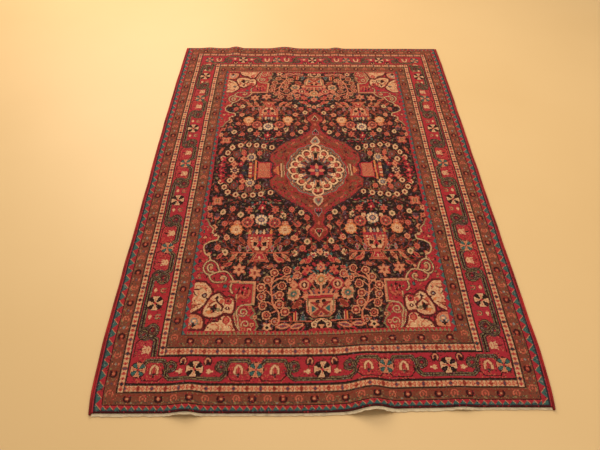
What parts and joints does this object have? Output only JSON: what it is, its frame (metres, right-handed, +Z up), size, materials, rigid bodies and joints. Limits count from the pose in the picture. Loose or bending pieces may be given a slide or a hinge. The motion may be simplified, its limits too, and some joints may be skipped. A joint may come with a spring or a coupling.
{
  "type": "persian rug",
  "caption": "Hand-knotted wool rug with a flower-filled dark field, lobed medallion and stepped borders, laid flat with low ripples at both ends.",
  "frame": {"origin": "on the floor, under the middle of the rug's outline", "axes": "+Y along the rug's length towards its far end, +X across it to the right, +Z up out of the pile"},
  "size_m": [1.3798, 2.1169, 0.0335],
  "materials": {
    "pile_wool": "matte",
    "selvedge_wool": "matte",
    "foundation_cotton": "matte"
  },
  "bodies": {
    "root": {"knotted_carpet": "pile_wool", "left_selvedge": "selvedge_wool", "right_selvedge": "selvedge_wool"}
  },
  "joints": []
}
